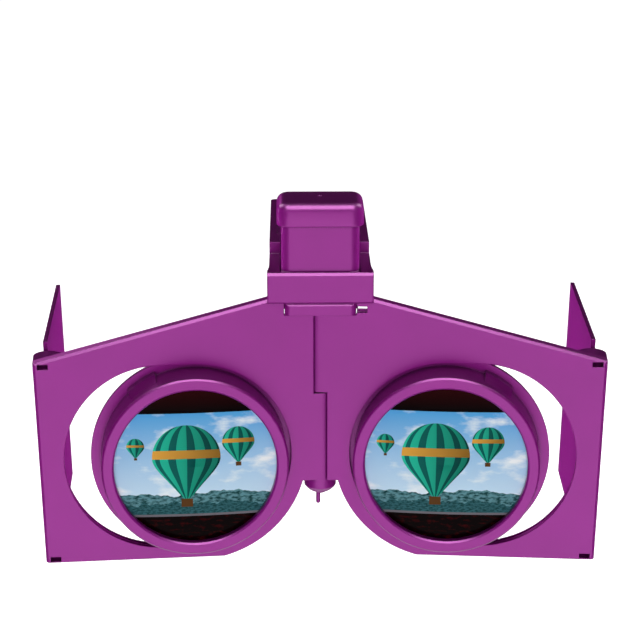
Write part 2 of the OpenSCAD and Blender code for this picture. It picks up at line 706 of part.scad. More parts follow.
// One wire along a helix between two flat seats, as one unbroken tube
module coil(length) {
    sides = 6;
    turn = 10;
    rings = spring_coils * turn;
    half_wire = spring_wire / 2;
    climb = length - spring_wire;
    middle = [for (i = [0 : rings]) let (a = 360 * i / turn)
        [spring_r * cos(a), spring_r * sin(a), half_wire + climb * i / rings]];
    points = [for (i = [0 : rings], k = [0 : sides - 1])
        let (a = 360 * i / turn, b = 360 * k / sides, r = spring_r + half_wire * cos(b))
        [r * cos(a), r * sin(a), middle[i][2] + half_wire * sin(b)]];
    coil_steps = [for (i = [0 : rings - turn - 2], j = [i + turn - 2 : i + turn + 2]) norm(middle[j] - middle[i])];
    echo(spring_least_gap = min(coil_steps) - spring_wire);
    walls = [for (i = [0 : rings - 1], k = [0 : sides - 1])
        let (n = (k + 1) % sides, p = i * sides)
        for (face = [[p + k, p + sides + n, p + n], [p + k, p + sides + k, p + sides + n]]) face];
    near_end = [for (k = [1 : sides - 2]) [0, k, k + 1]];
    far_end = [for (k = [1 : sides - 2]) [rings * sides, rings * sides + k + 1, rings * sides + k]];
    polyhedron(points, concat(walls, near_end, far_end));
}
module post_plan() {
    round_rect(-post_half, slide_front, post_half, slide_rear, post_corner_r);
}
module thumb_slider() {
    color(SHELL) at_seat() difference() {
        union() {
            translate([-post_half, slide_front, tongue_z]) cube([2 * post_half, post_depth, floor_z - tongue_z]);
            translate([0, 0, floor_z - seat]) linear_extrude(cap_z - floor_z + seat) post_plan();
            translate([-tongue_half, slide_rear - seat, tongue_z]) cube([2 * tongue_half, jaw_front - slide_rear, tongue_t]);
        }
        guide_rod_set(rod_r + pin_play);
        jaw_screw_set() screw_hole(jaw_screw_r, jaw_head_r, tab_t + tongue_t);
    }
}
module slider_cap() {
    color(SHELL) at_seat() translate([0, 0, cap_z]) hull() {
        for (x = [-1, 1], y = [slide_front - cap_lip + cap_corner_r, slide_rear + cap_rear_lip - cap_corner_r])
            translate([x * (cap_half - cap_corner_r), y, 0]) cap_corner();
    }
}
module cap_corner() {
    rotate_extrude($fn = 40) polygon([
        [0, 0], [cap_corner_r - edge, 0], [cap_corner_r, edge],
        for (a = [0 : 15 : 90])
            [cap_corner_r - cap_edge_r * (1 - cos(a)), cap_h - cap_edge_r * (1 - sin(a))],
        [0, cap_h]]);
}
module jaw_screw_set() {
    for (x = [-jaw_screw_x, jaw_screw_x]) translate([x, jaw_screw_y, tongue_top + tab_t]) children();
}
module jaw_screws() { color(STEEL) at_seat() jaw_screw_set() screw(jaw_screw_r, jaw_head_r, tab_t + tongue_t - seat); }
module rear_jaw() {
    color(SHELL) at_seat() difference() {
        union() {
            sheet(jaw_front, jaw_front + jaw_t) jaw_outline(tongue_top + tab_t);
            translate([-tab_half, tab_front, tongue_top]) cube([2 * tab_half, jaw_front - tab_front + seat, tab_t]);
        }
        jaw_screw_set() screw_hole(jaw_screw_r, jaw_head_r, tab_t + tongue_t);
    }
}

clamp_base();
channel_cover();
cover_screws();
front_pad();
guide_rods();
hinge_pin();
thumb_slider();
slider_cap();
rear_jaw();
rear_pad();
jaw_screws();
slider_springs();
wing("left");  // left_wing
slide_keeper("left");  // left_slide_keeper
keeper_screws("left");  // left_keeper_screws
flap_pin("left");  // left_flap_pin
lens_holder("left");  // left_lens_holder
lens("left");  // left_lens
lens_retainer("left");  // left_lens_retainer
flap("left");  // left_flap
wing("right");  // right_wing
slide_keeper("right");  // right_slide_keeper
keeper_screws("right");  // right_keeper_screws
flap_pin("right");  // right_flap_pin
lens_holder("right");  // right_lens_holder
lens("right");  // right_lens
lens_retainer("right");  // right_lens_retainer
flap("right");  // right_flap
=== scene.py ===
import json
import math

import bmesh
import bpy
from bpy.props import FloatProperty, FloatVectorProperty, IntProperty, PointerProperty, StringProperty
from mathutils import Matrix, Vector


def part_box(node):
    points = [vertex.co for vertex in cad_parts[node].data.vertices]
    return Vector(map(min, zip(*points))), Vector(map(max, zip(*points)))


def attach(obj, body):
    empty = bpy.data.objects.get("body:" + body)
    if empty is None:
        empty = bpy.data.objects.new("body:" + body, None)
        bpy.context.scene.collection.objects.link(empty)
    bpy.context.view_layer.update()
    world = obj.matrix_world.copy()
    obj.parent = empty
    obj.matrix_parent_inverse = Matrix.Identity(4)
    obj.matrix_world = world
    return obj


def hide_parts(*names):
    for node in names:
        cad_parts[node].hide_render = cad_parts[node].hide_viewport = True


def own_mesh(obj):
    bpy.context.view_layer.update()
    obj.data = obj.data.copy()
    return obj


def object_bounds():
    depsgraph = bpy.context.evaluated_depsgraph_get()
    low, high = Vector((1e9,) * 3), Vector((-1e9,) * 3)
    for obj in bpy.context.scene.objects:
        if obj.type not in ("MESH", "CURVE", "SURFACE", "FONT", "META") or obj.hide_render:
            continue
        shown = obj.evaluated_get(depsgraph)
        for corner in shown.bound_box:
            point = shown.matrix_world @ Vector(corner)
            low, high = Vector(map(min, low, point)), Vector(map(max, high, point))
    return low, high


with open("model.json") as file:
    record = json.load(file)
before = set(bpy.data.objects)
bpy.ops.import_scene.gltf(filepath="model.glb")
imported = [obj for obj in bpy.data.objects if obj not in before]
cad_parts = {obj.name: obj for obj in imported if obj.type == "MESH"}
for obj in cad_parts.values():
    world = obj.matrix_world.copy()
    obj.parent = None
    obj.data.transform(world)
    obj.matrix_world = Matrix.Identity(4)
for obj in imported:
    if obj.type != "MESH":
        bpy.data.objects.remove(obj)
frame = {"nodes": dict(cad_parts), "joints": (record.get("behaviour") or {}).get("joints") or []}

bl_info = {
    "name": "Folding Phone Viewer",
    "version": (1, 0, 0),
    "blender": (4, 5, 0),
    "location": "View3D > Sidebar > Viewer",
    "description": "Dresses the folding clip-on phone viewer and sets its studio",
    "category": "Object",
}

MM = 0.001
# The CAD's box, before any piece is added
FRAME_BOX = [list(corner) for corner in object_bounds()]
HANDS = {"left": -1, "right": 1}

# The wings turn toward the face about the hinge line, and each lens slides along its wing
SLIDE_AXIS = next(joint["axis"] for joint in frame["joints"] if joint["name"] == "right_lens_slide")
WING_TOE = -math.atan2(SLIDE_AXIS[1], SLIDE_AXIS[0])
# Radius of the lens openings, which the picture fills
OPENING_R = 18.5 * MM
# How far the print reaches back from the top of a lens's domed eye face
PRINT_DEPTH = 1.6 * MM

# Points closer than this are one point, and points this near a face's height lie on the face
MERGE = 0.001 * MM
LEVEL = 0.01 * MM
# Edges that bend less than these are shaded smooth
SMOOTH = math.radians(35)
WIRE_SMOOTH = math.radians(50)
# Straight steps in one turn of a spring, and points round its wire
COIL_STEPS = 24
WIRE_POINTS = 12
# The taper at a screw's tip and the share of the width that it leaves, and the radius round the head's rim
TIP = 0.2 * MM
TIP_SHARE = 0.75
RIM = 0.06 * MM

# Sockets that are known by number: a map range's limits, and a colour mix's share, two colours and result
FROM_LOW, FROM_HIGH, TO_LOW, TO_HIGH = 1, 2, 3, 4
SHARE, LOWER, UPPER, MIXED = 0, 6, 7, 2


# Sizes and colours


def hex_colour(name, what, default):
    """A setting that holds an sRGB hex colour."""
    return StringProperty(name=name, description=f"sRGB colour of {what}", default=default)


def amount(name, description, default, unit="NONE"):
    """A setting that holds a number of zero or more."""
    return FloatProperty(name=name, description=description, default=default, min=0, unit=unit)


class ShellFinish(bpy.types.PropertyGroup):
    """Finish of the moulded shell"""

    colour: hex_colour("Shell colour", "the moulded plastic", "#7F1377")
    inner_colour: hex_colour("Inner colour", "the moulded pieces behind the wings", "#781270")
    roughness: FloatProperty(
        name="Roughness", description="Roughness of the polished mould",
        default=0.3, min=0, max=1, subtype="FACTOR",
    )
    edge: amount("Edge rounding", "Radius of the moulded edges", 0.22 * MM, "LENGTH")
    # How far the painted shade in the seams, slots and inner corners reaches
    seam: amount("Seam width", "How far the dark of a seam reaches", 1.0 * MM, "LENGTH")


class PictureFinish(bpy.types.PropertyGroup):
    """Colours of the show picture in the lenses"""

    sky_top: hex_colour("Upper sky", "the upper sky", "#4FA3DF")
    sky_low: hex_colour("Lower sky", "the sky at the horizon", "#CBE3F5")
    cloud: hex_colour("Clouds", "the clouds", "#F2F7FB")
    far_hills: hex_colour("Far hills", "the far hills", "#5E8F98")
    hills: hex_colour("Near hills", "the near hills", "#33626A")
    woods: hex_colour("Woods", "the woods on the hills", "#173B3C")
    envelope: hex_colour("Balloon", "the balloons", "#22A88C")
    panel: hex_colour("Balloon panels", "every other panel", "#0F5A55")
    trim: hex_colour("Balloon belt", "the balloons' belts", "#C8923C")
    basket: hex_colour("Baskets", "the baskets", "#5A3A1E")
    line: hex_colour("Picture edge", "the picture's lower edge", "#6E6A72")
    border: hex_colour("Dark bands", "the dark bands", "#070102")
    gleam: hex_colour("Gleam", "the gleam on the dark bands", "#3A0408")


class StageSettings(bpy.types.PropertyGroup):
    """Camera, lamps, cards and floor"""

    camera_place: FloatVectorProperty(
        name="Camera place", description="Where the camera stands", default=(-0.00653, -0.4721, 0.12517),
        subtype="TRANSLATION", unit="LENGTH",
    )
    camera_aim: FloatVectorProperty(
        name="Camera aim", description="Point that the camera looks at", default=(-0.00008, -0.052, -0.00553),
        subtype="TRANSLATION", unit="LENGTH",
    )
    lens: amount("Lens", "Focal length of the camera in millimetres", 109.13)
    floor_drop: amount("Floor drop", "Distance of the floor below the viewer", 0.22, "LENGTH")
    key: amount("Key lamp", "Power of the front lamp", 7.8, "POWER")
    back: amount("Rear lamps", "Power of each lamp behind", 17.5, "POWER")
    strip: amount("Edge lamp", "Power of the lamp that draws the edges", 18.5, "POWER")
    corner: amount("Corner lamps", "Power of each lamp that draws the corners", 2.5, "POWER")
    front_card: amount("Front card", "Brightness of the card that the fronts mirror", 4.1)
    side_card: amount("Side card", "Brightness of the card that the left wing's top mirrors", 2.3)
    ambient: amount("Ambient", "Strength of the room's own light", 0.16)


class PieceSizes(bpy.types.PropertyGroup):
    """Sizes of the pieces that are modelled here"""

    cap_corner: amount("Cap corner", "Radius of the cap's upright corners", 2.9 * MM, "LENGTH")
    cap_edge: amount("Cap edge", "Radius of the cap's top edge", 1.85 * MM, "LENGTH")
    gate_mark: amount("Gate mark", "Radius of the moulding mark on the cap", 0.5 * MM, "LENGTH")
    spring_coils: IntProperty(name="Spring coils", description="Coils in each spring", default=8, min=1)
    spring_wire: amount("Spring wire", "Thickness of the springs' wire", 0.5 * MM, "LENGTH")
    recess: amount("Cross recess", "Width of the cross in the screw heads", 0.36 * MM, "LENGTH")
    recess_depth: amount("Recess depth", "Depth of the cross in the screw heads", 0.5 * MM, "LENGTH")


# Small helpers


def linear(code):
    """Turns an sRGB hex colour into the linear values that a shader takes."""
    values = [int(code[i : i + 2], 16) / 255 for i in (1, 3, 5)]
    return tuple(v / 12.92 if v <= 0.04045 else ((v + 0.055) / 1.055) ** 2.4 for v in values) + (1.0,)


def put(tree, kind, settings=None, inputs=None):
    """Adds a node with its settings, and with its inputs set or linked."""
    node = tree.nodes.new(kind)
    for name, value in (settings or {}).items():
        setattr(node, name, value)
    for name, value in (inputs or {}).items():
        socket = node.inputs[name]
        if isinstance(value, bpy.types.NodeSocket):
            tree.links.new(value, socket)
        else:
            socket.default_value = value
    # Eight nodes to a row, so that the tree can be read
    node.location = (220 * (len(tree.nodes) % 8), -260 * (len(tree.nodes) // 8))
    return node


def new_material(name):
    """An empty node material, and its node tree."""
    material = bpy.data.materials.new(name)
    material.use_nodes = True
    material.node_tree.nodes.clear()
    return material, material.node_tree


def finish_node(name, material):
    """Gives a frame node its material."""
    slots = frame["nodes"][name].data.materials
    slots.clear()
    slots.append(material)


def nothing_selected():
    """Goes back to object mode with no object selected."""
    if bpy.context.mode != "OBJECT":
        bpy.ops.object.mode_set(mode="OBJECT")
    bpy.ops.object.select_all(action="DESELECT")


def select_only(piece):
    """Selects one object and makes it the active one."""
    nothing_selected()
    bpy.context.view_layer.objects.active = piece
    piece.select_set(True)


def modify(piece, name, kind, **settings):
    """Adds a modifier with its settings, and applies it."""
    modifier = piece.modifiers.new(name, kind)
    for setting, value in settings.items():
        setattr(modifier, setting, value)
    bpy.context.view_layer.update()
    select_only(piece)
    bpy.ops.object.modifier_apply(modifier=modifier.name)


def weigh_edges(mesh, weight, chosen):
    """Gives a bevel weight to the edges whose lower and upper end pass a test, and none to the rest."""
    name = "bevel_weight_edge"
    weights = mesh.attributes.get(name) or mesh.attributes.new(name, "FLOAT", "EDGE")
    for edge in mesh.edges:
        lower, upper = sorted(mesh.vertices[corner].co.z for corner in edge.vertices)
        weights.data[edge.index].value = weight if chosen(lower, upper) else 0.0


def solids(node):
    """The corners of each separate solid of a frame node, solids in order of place, from a merged copy."""
    mesh = bmesh.new()
    mesh.from_mesh(frame["nodes"][node].data)
    bmesh.ops.remove_doubles(mesh, verts=mesh.verts, dist=MERGE)
    mesh.verts.index_update()
    left, found = set(mesh.verts), []
    while left:
        reached = [left.pop()]
        for corner in reached:
            for edge in corner.link_edges:
                other = edge.other_vert(corner)
                if other in left:
                    left.remove(other)
                    reached.append(other)
        # In the mesh's own order, so that every run adds the corners up alike
        found.append([corner.co.copy() for corner in sorted(reached, key=lambda corner: corner.index)])
    mesh.free()
    return sorted(found, key=lambda points: tuple(round(value, 5) for value in points_middle(points)))


def points_middle(points):
    """The mean of some points."""
    return sum(points, Vector()) / len(points)


def settle(piece, material, body, *nodes):
    """Puts a finished piece's place into its mesh, and hangs it on its body in place of its frame nodes."""
    select_only(piece)
    bpy.ops.object.transform_apply(location=True, rotation=True, scale=True)
    piece.data.materials.clear()
    piece.data.materials.append(material)
    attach(piece, body)
    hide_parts(*nodes)
    nothing_selected()


# Materials


def moulded_abs(name, colour, finish):
    """Injection-moulded ABS from a polished mould: an even colour with faint flow marks, painted shade in its
    seams and corners, and a soft gloss.
    """
    material, tree = new_material(name)
    place = put(tree, "ShaderNodeTexCoord").outputs["Object"]
    # Flow marks, drawn 12 mm wide: the colour shifts by a few per cent where the melt cooled at another rate
    flow = put(
        tree, "ShaderNodeTexNoise", {},
        {"Vector": place, "Scale": 1 / (12 * MM), "Detail": 2.0, "Roughness": 0.4},
    )
    shade = put(
        tree, "ShaderNodeMapRange", {},
        {"Value": flow.outputs["Fac"], FROM_LOW: 0.3, FROM_HIGH: 0.7, TO_LOW: 0.96, TO_HIGH: 1.04},
    )
    # Painted shade: the seams, slots and inner corners are darkened in the base colour by how shut in they
    # are, standing in for the shade that falls there
    open_side = put(tree, "ShaderNodeAmbientOcclusion", {"samples": 8}, {"Distance": finish.seam})
    painted_shade = put(
        tree, "ShaderNodeMapRange", {},
        {"Value": open_side.outputs["AO"], FROM_LOW: 0.3, FROM_HIGH: 0.92, TO_LOW: 0.3, TO_HIGH: 1.0},
    )
    # The flow marks and the painted shade together scale the base colour
    tone = put(
        tree, "ShaderNodeMath", {"operation": "MULTIPLY"},
        {0: shade.outputs["Result"], 1: painted_shade.outputs["Result"]},
    )
    base = put(
        tree, "ShaderNodeVectorMath", {"operation": "SCALE"},
        {0: linear(colour)[:3], "Scale": tone.outputs[0]},
    )
    # The mould's fine spark texture is about 0.05 mm, drawn at 0.35 mm so that it shows
    grain = put(
        tree, "ShaderNodeTexNoise", {},
        {"Vector": place, "Scale": 1 / (0.35 * MM), "Detail": 3.0, "Roughness": 0.6},
    )
    rough = put(
        tree, "ShaderNodeMapRange", {},
        {"Value": grain.outputs["Fac"], FROM_LOW: 0.3, FROM_HIGH: 0.7,
         TO_LOW: finish.roughness - 0.02, TO_HIGH: finish.roughness + 0.02},
    )
    edges = put(tree, "ShaderNodeBevel", {"samples": 6}, {"Radius": finish.edge})
    bump = put(
        tree, "ShaderNodeBump", {},
        {"Strength": 0.03, "Distance": 0.01 * MM, "Height": grain.outputs["Fac"],
         "Normal": edges.outputs["Normal"]},
    )
    # The gloss is tinted lilac, as the lit faces of the real shell are
    surface = put(
        tree, "ShaderNodeBsdfPrincipled", {},
        {"Base Color": base.outputs["Vector"], "Roughness": rough.outputs["Result"], "IOR": 1.54,
         "Specular Tint": linear("#F29CEA"), "Normal": bump.outputs["Normal"]},
    )
    put(tree, "ShaderNodeOutputMaterial", {}, {"Surface": surface.outputs["BSDF"]})
    return material


def zinc_plated_steel():
    """Zinc-plated steel wire and screws: a bright grey metal with fine marks of drawing."""
    material, tree = new_material("zinc_plated_steel")
    place = put(tree, "ShaderNodeTexCoord").outputs["Object"]
    # The marks of drawing are finer than 0.1 mm, drawn at 0.2 mm so that they show
    marks = put(tree, "ShaderNodeTexNoise", {}, {"Vector": place, "Scale": 1 / (0.2 * MM), "Detail": 2.0})
    rough = put(tree, "ShaderNodeMapRange", {}, {"Value": marks.outputs["Fac"], TO_LOW: 0.22, TO_HIGH: 0.4})
    surface = put(
        tree, "ShaderNodeBsdfPrincipled", {},
        {"Base Color": linear("#B9BDC4"), "Metallic": 1.0, "Roughness": rough.outputs["Result"]},
    )
    put(tree, "ShaderNodeOutputMaterial", {}, {"Surface": surface.outputs["BSDF"]})
    return material


def moulded_rubber():
    """Compression-moulded rubber: dark, matt and slightly mottled."""
    material, tree = new_material("moulded_rubber")
    place = put(tree, "ShaderNodeTexCoord").outputs["Object"]
    # The mottle of a matt mould, about half a millimetre wide
    mottle = put(tree, "ShaderNodeTexNoise", {}, {"Vector": place, "Scale": 1 / (0.5 * MM), "Detail": 4.0})
    shade = put(tree, "ShaderNodeMapRange", {}, {"Value": mottle.outputs["Fac"], TO_LOW: 0.8, TO_HIGH: 1.2})
    base = put(
        tree, "ShaderNodeVectorMath", {"operation": "SCALE"},
        {0: linear("#2B2430")[:3], "Scale": shade.outputs["Result"]},
    )
    bump = put(
        tree, "ShaderNodeBump", {},
        {"Strength": 0.3, "Distance": 0.03 * MM, "Height": mottle.outputs["Fac"]},
    )
    surface = put(
        tree, "ShaderNodeBsdfPrincipled", {},
        {"Base Color": base.outputs["Vector"], "Roughness": 0.75, "IOR": 1.52,
         "Normal": bump.outputs["Normal"]},
    )
    put(tree, "ShaderNodeOutputMaterial", {}, {"Surface": surface.outputs["BSDF"]})
    return material


def balloon_group(finish):
    """A striped balloon with its basket, as colour and mask, from a point, its centre and its radius."""
    tree = bpy.data.node_groups.new("striped_balloon", "ShaderNodeTree")
    for name in ("X", "Y", "Centre X", "Centre Y", "Radius", "Panels"):
        tree.interface.new_socket(name, in_out="INPUT", socket_type="NodeSocketFloat")
    tree.interface.new_socket("Color", in_out="OUTPUT", socket_type="NodeSocketColor")
    tree.interface.new_socket("Mask", in_out="OUTPUT", socket_type="NodeSocketFloat")
    known = {socket.name: socket for socket in put(tree, "NodeGroupInput").outputs}
    # Each step gives its name, its operation and what it works on: earlier steps by name, or numbers
    steps = (
        ("from_x", "SUBTRACT", "X", "Centre X"),
        ("across", "DIVIDE", "from_x", "Radius"),
        ("from_y", "SUBTRACT", "Y", "Centre Y"),
        ("up", "DIVIDE", "from_y", "Radius"),
        # The envelope is round above and narrows to its mouth below
        ("near_up", "MAXIMUM", "up", -1.5),
        ("below", "MINIMUM", "near_up", 0.0),
        ("below_squared", "MULTIPLY", "below", "below"),
        ("narrow", "MULTIPLY_ADD", "below_squared", 0.75, 1.0),
        ("wide", "MULTIPLY", "across", "narrow"),
        ("stretch", "MULTIPLY_ADD", "below", 0.18, 1.0),
        ("tall", "MULTIPLY", "up", "stretch"),
        ("tall_squared", "MULTIPLY", "tall", "tall"),
        ("reach", "MULTIPLY_ADD", "wide", "wide", "tall_squared"),
        ("envelope", "LESS_THAN", "reach", 1.0),
        # The panels run from top to mouth, evenly spaced round the envelope
        ("left_over", "SUBTRACT", 1.03, "tall_squared"),
        ("half_squared", "MAXIMUM", "left_over", 0.01),
        ("half", "SQRT", "half_squared"),
        ("share", "DIVIDE", "wide", "half"),
        ("share_low", "MAXIMUM", "share", -1.0),
        ("share_kept", "MINIMUM", "share_low", 1.0),
        ("turn", "ARCSINE", "share_kept"),
        ("turns", "MULTIPLY", "turn", "Panels"),
        ("wave", "SINE", "turns"),
        ("panel", "GREATER_THAN", "wave", 0.2),
        ("from_belt", "SUBTRACT", "up", 0.1),
        ("belt_off", "ABSOLUTE", "from_belt"),
        ("belt", "LESS_THAN", "belt_off", 0.13),
        ("light", "MULTIPLY_ADD", "wide", -0.45, 0.85),
        # The basket hangs under the mouth
        ("side", "ABSOLUTE", "across"),
        ("basket_across", "LESS_THAN", "side", 0.17),
        ("from_basket", "ADD", "up", 1.42),
        ("basket_off", "ABSOLUTE", "from_basket"),
        ("basket_up", "LESS_THAN", "basket_off", 0.13),
        ("basket", "MULTIPLY", "basket_across", "basket_up"),
        ("mask", "MAXIMUM", "envelope", "basket"),
    )
    for name, operation, *terms in steps:
        given = {index: known.get(term, term) for index, term in enumerate(terms)}
        known[name] = put(tree, "ShaderNodeMath", {"operation": operation}, given).outputs[0]
    colour = linear(finish.envelope)
    for blend, mask, top in (
        ("MIX", known["panel"], linear(finish.panel)),
        ("MIX", known["belt"], linear(finish.trim)),
        ("MULTIPLY", 1.0, known["light"]),
        ("MIX", known["basket"], linear(finish.basket)),
    ):
        layer = put(
            tree, "ShaderNodeMix", {"data_type": "RGBA", "blend_type": blend, "clamp_factor": True},
            {SHARE: mask, LOWER: colour, UPPER: top},
        )
        colour = layer.outputs[MIXED]
    put(tree, "NodeGroupOutput", {}, {"Color": colour, "Mask": known["mask"]})
    return tree


def picture_group(finish):
    """The show picture, read at a point on a unit disc: sky, hills and balloons between two dark bands."""
    balloon = balloon_group(finish)
    tree = bpy.data.node_groups.new("show_picture", "ShaderNodeTree")
    tree.interface.new_socket("Vector", in_out="INPUT", socket_type="NodeSocketVector")
    tree.interface.new_socket("Color", in_out="OUTPUT", socket_type="NodeSocketColor")
    point = put(tree, "NodeGroupInput").outputs["Vector"]
    parts = put(tree, "ShaderNodeSeparateXYZ", {}, {0: point}).outputs
    known = {"x": parts["X"], "y": parts["Z"]}
    # The patterns are drawn wider than high, as clouds and hills are
    flat = put(tree, "ShaderNodeMapping", {}, {"Vector": point, "Scale": (1.0, 0.0, 2.4)}).outputs["Vector"]
    for name, scale, detail in (
        ("clouds", 1.9, 6.0), ("far_woods", 13.0, 3.0), ("near_woods", 21.0, 4.0), ("gleam", 9.0, 3.0),
    ):
        known[name] = put(
            tree, "ShaderNodeTexNoise", {},
            {"Vector": flat, "Scale": scale, "Detail": detail, "Roughness": 0.55},
        ).outputs["Fac"]
    # Each ridge is a rolling line, read from its own stretch of a noise
    for name, scale, offset in (("far_ridge", 1.6, 2.5), ("near_ridge", 3.1, 6.5)):
        along = put(tree, "ShaderNodeMath", {"operation": "ADD"}, {0: parts["X"], 1: offset}).outputs[0]
        known[name] = put(
            tree, "ShaderNodeTexNoise", {"noise_dimensions": "1D"},
            {"W": along, "Scale": scale, "Detail": 4.0},
        ).outputs["Fac"]
    steps = (
        ("sky", "MULTIPLY_ADD", "y", 0.87, 0.39),
        ("cloud", "MULTIPLY_ADD", "clouds", 5.5, -2.85),
        ("far_top", "MULTIPLY_ADD", "far_ridge", 0.3, -0.5),
        ("far", "LESS_THAN", "y", "far_top"),
        ("far_shade", "MULTIPLY_ADD", "far_woods", 5.0, -2.1),
        ("near_top", "MULTIPLY_ADD", "near_ridge", 0.26, -0.62),
        ("near", "LESS_THAN", "y", "near_top"),
        ("near_shade", "MULTIPLY_ADD", "near_woods", 5.0, -2.1),
        ("line", "LESS_THAN", "y", -0.63),
        ("lower", "LESS_THAN", "y", -0.66),
        ("warm", "MULTIPLY_ADD", "gleam", 4.3, -2.25),
        ("warm_low", "MULTIPLY", "warm", "lower"),
        ("upper", "GREATER_THAN", "y", 0.69),
        ("drape", "MULTIPLY_ADD", "y", 2.0, -1.45),
        ("drape_high", "MULTIPLY", "drape", "upper"),
    )
    for name, operation, *terms in steps:
        given = {index: known.get(term, term) for index, term in enumerate(terms)}
        known[name] = put(tree, "ShaderNodeMath", {"operation": operation}, given).outputs[0]
    # The hills are mottled with woods, before they cover the sky
    hills = {}
    for name, shade in (("far", finish.far_hills), ("near", finish.hills)):
        hills[name] = put(
            tree, "ShaderNodeMix", {"data_type": "RGBA", "clamp_factor": True},
            {SHARE: known[name + "_shade"], LOWER: linear(shade), UPPER: linear(finish.woods)},
        ).outputs[MIXED]
    layers = [
        (known["sky"], linear(finish.sky_top)), (known["cloud"], linear(finish.cloud)),
        (known["far"], hills["far"]), (known["near"], hills["near"]),
    ]
    # Balloons by their middle and radius on the disc, and their panels, the largest one last
    for centre_x, centre_y, radius, panels in (
        (0.52, 0.3, 0.2, 9.0), (-0.74, 0.27, 0.11, 7.0), (-0.12, 0.12, 0.42, 11.0),
    ):
        shown = put(
            tree, "ShaderNodeGroup", {"node_tree": balloon},
            {"X": known["x"], "Y": known["y"], "Centre X": centre_x, "Centre Y": centre_y,
             "Radius": radius, "Panels": panels},
        ).outputs
        layers.append((shown["Mask"], shown["Color"]))
    # The dark bands above and below, with a faint warm gleam
    layers += [
        (known["line"], linear(finish.line)), (known["lower"], linear(finish.border)),
        (known["warm_low"], linear(finish.gleam)), (known["upper"], linear(finish.border)),
        (known["drape_high"], linear(finish.gleam)),
    ]
    colour = linear(finish.sky_low)
    for mask, top in layers:
        layer = put(
            tree, "ShaderNodeMix", {"data_type": "RGBA", "clamp_factor": True},
            {SHARE: mask, LOWER: colour, UPPER: top},
        )
        colour = layer.outputs[MIXED]
    put(tree, "NodeGroupOutput", {}, {"Color": colour})
    return tree


def picture_acrylic(hand, picture):
    """Moulded and polished acrylic lens, clear behind the show picture that is printed on its eye face."""
    turn = HANDS[hand] * WING_TOE
    low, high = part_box(f"{hand}_lens")
    centre = (low + high) / 2
    # The print ends behind the domed eye face, on the rim that the tube hides
    back = Matrix.Rotation(turn, 3, "Z")
    depths = [(back @ (vertex.co - centre)).y for vertex in frame["nodes"][f"{hand}_lens"].data.vertices]
    print_end = (min(depths) + PRINT_DEPTH) / OPENING_R
    material, tree = new_material(f"picture_acrylic_{hand}")
    place = put(tree, "ShaderNodeTexCoord").outputs["Object"]
    disc = put(
        tree, "ShaderNodeMapping", {"vector_type": "TEXTURE"},
        {"Vector": place, "Location": centre, "Rotation": (0, 0, -turn), "Scale": (OPENING_R,) * 3},
    ).outputs["Vector"]
    shown = put(tree, "ShaderNodeGroup", {"node_tree": picture}, {"Vector": disc}).outputs["Color"]
    # The print's halftone dots are about 0.1 mm, drawn at 0.4 mm as a faint change of gloss
    dots = put(tree, "ShaderNodeTexNoise", {}, {"Vector": place, "Scale": 1 / (0.4 * MM), "Detail": 1.0})
    gloss = put(
        tree, "ShaderNodeMapRange", {},
        {"Value": dots.outputs["Fac"], FROM_LOW: 0.3, FROM_HIGH: 0.7, TO_LOW: 0.14, TO_HIGH: 0.2},
    )
    printed = put(
        tree, "ShaderNodeBsdfPrincipled", {},
        {"Base Color": shown, "Roughness": gloss.outputs["Result"], "IOR": 1.49, "Specular IOR Level": 0.01},
    )
    clear = put(
        tree, "ShaderNodeBsdfPrincipled", {},
        {"Base Color": linear("#EAF3F8"), "Roughness": 0.03, "IOR": 1.49, "Transmission Weight": 1.0},
    )
    depth = put(tree, "ShaderNodeSeparateXYZ", {}, {0: disc}).outputs["Y"]
    front = put(tree, "ShaderNodeMath", {"operation": "LESS_THAN"}, {0: depth, 1: print_end}).outputs[0]
    whole = put(
        tree, "ShaderNodeMixShader", {},
        {0: front, 1: clear.outputs["BSDF"], 2: printed.outputs["BSDF"]},
    )
    put(tree, "ShaderNodeOutputMaterial", {}, {"Surface": whole.outputs[0]})
    return material


# Pieces


class VIEWER_OT_shell(bpy.types.Operator):
    """Finish the moulded shell pieces that come from the frame"""

    bl_idname = "viewer.shell"
    bl_label = "Moulded shell"

    def execute(self, context):
        finish = context.scene.viewer_shell
        outer = moulded_abs("moulded_abs_purple", finish.colour, finish)
        inner = moulded_abs("moulded_abs_inner", finish.inner_colour, finish)
        for name in ("clamp_base", "channel_cover", "thumb_slider", "rear_jaw"):
            finish_node(name, outer)
        finish_node("hinge_pin", inner)
        for hand in HANDS:
            for name in ("wing", "flap", "lens_holder"):
                finish_node(f"{hand}_{name}", outer)
            for name in ("slide_keeper", "lens_retainer"):
                finish_node(f"{hand}_{name}", inner)
        return {"FINISHED"}


